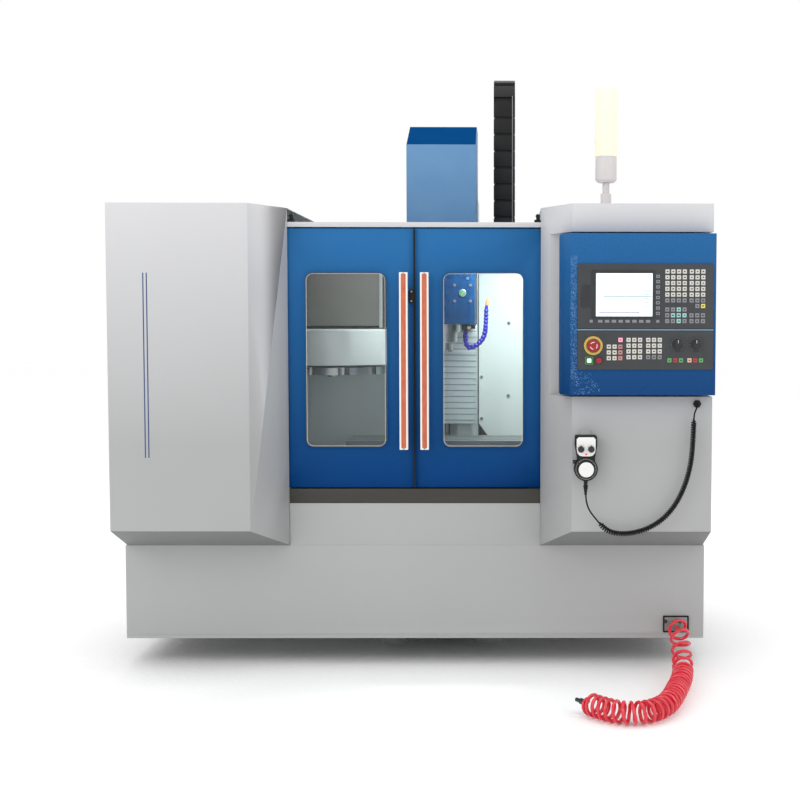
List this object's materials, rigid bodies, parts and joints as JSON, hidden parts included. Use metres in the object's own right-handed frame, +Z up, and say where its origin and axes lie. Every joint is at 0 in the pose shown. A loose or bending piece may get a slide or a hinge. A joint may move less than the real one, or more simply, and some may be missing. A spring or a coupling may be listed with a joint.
{
  "type": "cnc machining center",
  "caption": "Enclosed vertical milling machine with sliding windowed doors, swinging control box, cross table, spindle head and tool carousel.",
  "frame": {"origin": "on the floor under the middle of the machine, without its air hose", "axes": "+Z up, the doors face -Y, +X to the operator's right"},
  "size_m": [1.912, 1.9986, 2.0324],
  "materials": {
    "grey_paint": "satin powder coat",
    "blue_paint": "textured gloss paint",
    "sill_steel": "brushed",
    "machined_steel": "ground",
    "cast_iron": "painted casting",
    "white_wall": "gloss paint",
    "window_glass": "clear polycarbonate",
    "handle_plastic": "moulded",
    "black_plastic": "moulded",
    "panel_plastic": "membrane foil",
    "key_plastic": "membrane keys",
    "red_plastic": "moulded",
    "green_plastic": "lit cap",
    "lamp_lens": "lit, frosted",
    "lamp_grey": "moulded",
    "red_hose": "polyurethane tube",
    "coolant_blue": "moulded segments",
    "fitting_metal": "nickel-plated",
    "pendant_grey": "moulded"
  },
  "bodies": {
    "root": {"base_skirt": "grey_paint", "levelling_feet": "machined_steel", "bed_casting": "cast_iron", "guide_rails": "machined_steel", "left_cabinet": "grey_paint", "right_cabinet": "grey_paint", "door_sill": "sill_steel", "door_rail": "grey_paint", "rear_walls": "white_wall", "column": "cast_iron", "axis_servos": "black_plastic", "magazine_housing": "white_wall", "cable_chain": "black_plastic", "lamp_stand": "lamp_grey", "lamp_lens": "lamp_lens", "air_inlet": "fitting_metal", "air_hose": "red_hose", "hose_end": "fitting_metal", "pendant": "pendant_grey", "cord_gland": "black_plastic", "pendant_cord": "black_plastic", "pendant_curl": "black_plastic", "electrical_cabinet": "grey_paint"},
    "left_door": {"left_door": "blue_paint", "left_window": "window_glass", "left_handle": "handle_plastic"},
    "right_door": {"right_door": "blue_paint", "right_window": "window_glass", "right_handle": "handle_plastic"},
    "saddle": {"saddle": "cast_iron"},
    "table": {"work_table": "machined_steel", "x_servo": "black_plastic"},
    "x_screw": {"x_screw": "machined_steel"},
    "y_screw": {"y_screw": "machined_steel"},
    "z_screw": {"z_screw": "machined_steel"},
    "head": {"head_casting": "blue_paint", "spindle_cartridge": "machined_steel", "spindle_motor": "black_plastic", "head_cover": "blue_paint", "z_way_cover": "machined_steel", "coolant_pipe": "coolant_blue"},
    "spindle": {"spindle_shaft": "machined_steel"},
    "motor_pulley": {"motor_pulley": "machined_steel"},
    "magazine_carriage": {"magazine_carriage": "machined_steel"},
    "tool_disc": {"tool_disc": "machined_steel"},
    "control_box": {"control_box": "blue_paint", "upper_panel": "panel_plastic", "lower_panel": "panel_plastic", "keys": "key_plastic"},
    "stop_button": {"stop_button": "red_plastic"},
    "start_button": {"start_button": "green_plastic"},
    "halt_button": {"halt_button": "red_plastic"},
    "speed_knob": {"speed_knob": "black_plastic"},
    "feed_knob": {"feed_knob": "black_plastic"},
    "pendant_dial": {"pendant_dial": "black_plastic"},
    "axis_selector": {"axis_selector": "black_plastic"},
    "step_selector": {"step_selector": "black_plastic"},
    "enable_button": {"enable_button": "black_plastic"},
    "electrical_door": {"electrical_door": "grey_paint"}
  },
  "joints": [
    {"name": "left_door_slide", "type": "slide", "parent": "root", "child": "left_door", "axis": [-1, 0, 0], "range_m": [0, 0.34]},
    {"name": "right_door_slide", "type": "slide", "parent": "root", "child": "right_door", "axis": [1, 0, 0], "range_m": [0, 0.34]},
    {"name": "saddle_y", "type": "slide", "parent": "root", "child": "saddle", "axis": [0, 1, 0], "range_m": [-0.12, 0.12]},
    {"name": "table_x", "type": "slide", "parent": "saddle", "child": "table", "axis": [1, 0, 0], "range_m": [-0.18, 0.18]},
    {"name": "head_z", "type": "slide", "parent": "root", "child": "head", "axis": [0, 0, 1], "range_m": [-0.24, 0.04], "deforming": ["z_way_cover", "cable_chain"]},
    {"name": "y_screw_turn", "type": "hinge", "parent": "root", "child": "y_screw", "pos_m": [0.07, 0, 0.482], "axis": [0, 1, 0], "range_deg": [-4400, 4400]},
    {"name": "x_screw_turn", "type": "hinge", "parent": "table", "child": "x_screw", "pos_m": [0.07, -0.03, 0.655], "axis": [1, 0, 0], "range_deg": [-6600, 6600]},
    {"name": "z_screw_turn", "type": "hinge", "parent": "root", "child": "z_screw", "pos_m": [0.07, 0.271, 1.1], "axis": [0, 0, 1], "range_deg": [-8700, 1500]},
    {"name": "spindle_turn", "type": "hinge", "parent": "head", "child": "spindle", "pos_m": [0.07, -0.01, 1.1], "axis": [0, 0, 1], "continuous": true},
    {"name": "motor_pulley_turn", "type": "hinge", "parent": "head", "child": "motor_pulley", "pos_m": [0.07, 0.12, 1.51], "axis": [0, 0, 1], "continuous": true},
    {"name": "magazine_slide", "type": "slide", "parent": "root", "child": "magazine_carriage", "axis": [1, 0, 0], "range_m": [0, 0.22]},
    {"name": "disc_turn", "type": "hinge", "parent": "magazine_carriage", "child": "tool_disc", "pos_m": [-0.33, -0.01, 1], "axis": [0, 0, 1], "continuous": true},
    {"name": "control_box_swing", "type": "hinge", "parent": "root", "child": "control_box", "pos_m": [0.942, -0.574, 1.1], "axis": [0, 0, 1], "range_deg": [0, 75]},
    {"name": "stop_press", "type": "slide", "parent": "control_box", "child": "stop_button", "axis": [0, 1, 0], "range_m": [0, 0.006]},
    {"name": "start_press", "type": "slide", "parent": "control_box", "child": "start_button", "axis": [0, 1, 0], "range_m": [0, 0.003], "stiffness_N_per_m": 400, "springref_m": -0.001},
    {"name": "halt_press", "type": "slide", "parent": "control_box", "child": "halt_button", "axis": [0, 1, 0], "range_m": [0, 0.003], "stiffness_N_per_m": 400, "springref_m": -0.001},
    {"name": "speed_override", "type": "hinge", "parent": "control_box", "child": "speed_knob", "pos_m": [0.831, -0.761, 1.07], "axis": [0, 1, 0], "range_deg": [-135, 135]},
    {"name": "feed_override", "type": "hinge", "parent": "control_box", "child": "feed_knob", "pos_m": [0.888, -0.761, 1.07], "axis": [0, 1, 0], "range_deg": [-135, 135]},
    {"name": "dial_turn", "type": "hinge", "parent": "root", "child": "pendant_dial", "pos_m": [0.55, -0.747, 0.68], "axis": [0, 1, 0], "continuous": true},
    {"name": "axis_select", "type": "hinge", "parent": "root", "child": "axis_selector", "pos_m": [0.534, -0.747, 0.743], "axis": [0, 1, 0], "range_deg": [-60, 60]},
    {"name": "step_select", "type": "hinge", "parent": "root", "child": "step_selector", "pos_m": [0.566, -0.747, 0.743], "axis": [0, 1, 0], "range_deg": [-60, 60]},
    {"name": "enable_press", "type": "slide", "parent": "root", "child": "enable_button", "axis": [1, 0, 0], "range_m": [0, 0.003], "stiffness_N_per_m": 400, "springref_m": -0.001},
    {"name": "electrical_door_swing", "type": "hinge", "parent": "root", "child": "electrical_door", "pos_m": [-0.607, 0.75, 1], "axis": [0, 0, 1], "range_deg": [0, 110]}
  ],
  "couplings": [
    {"joint": "y_screw_turn", "follows": "saddle_y", "rad_per_m": 628.32},
    {"joint": "x_screw_turn", "follows": "table_x", "rad_per_m": -628.32},
    {"joint": "z_screw_turn", "follows": "head_z", "rad_per_m": 628.32},
    {"joint": "motor_pulley_turn", "follows": "spindle_turn", "ratio": 1}
  ]
}
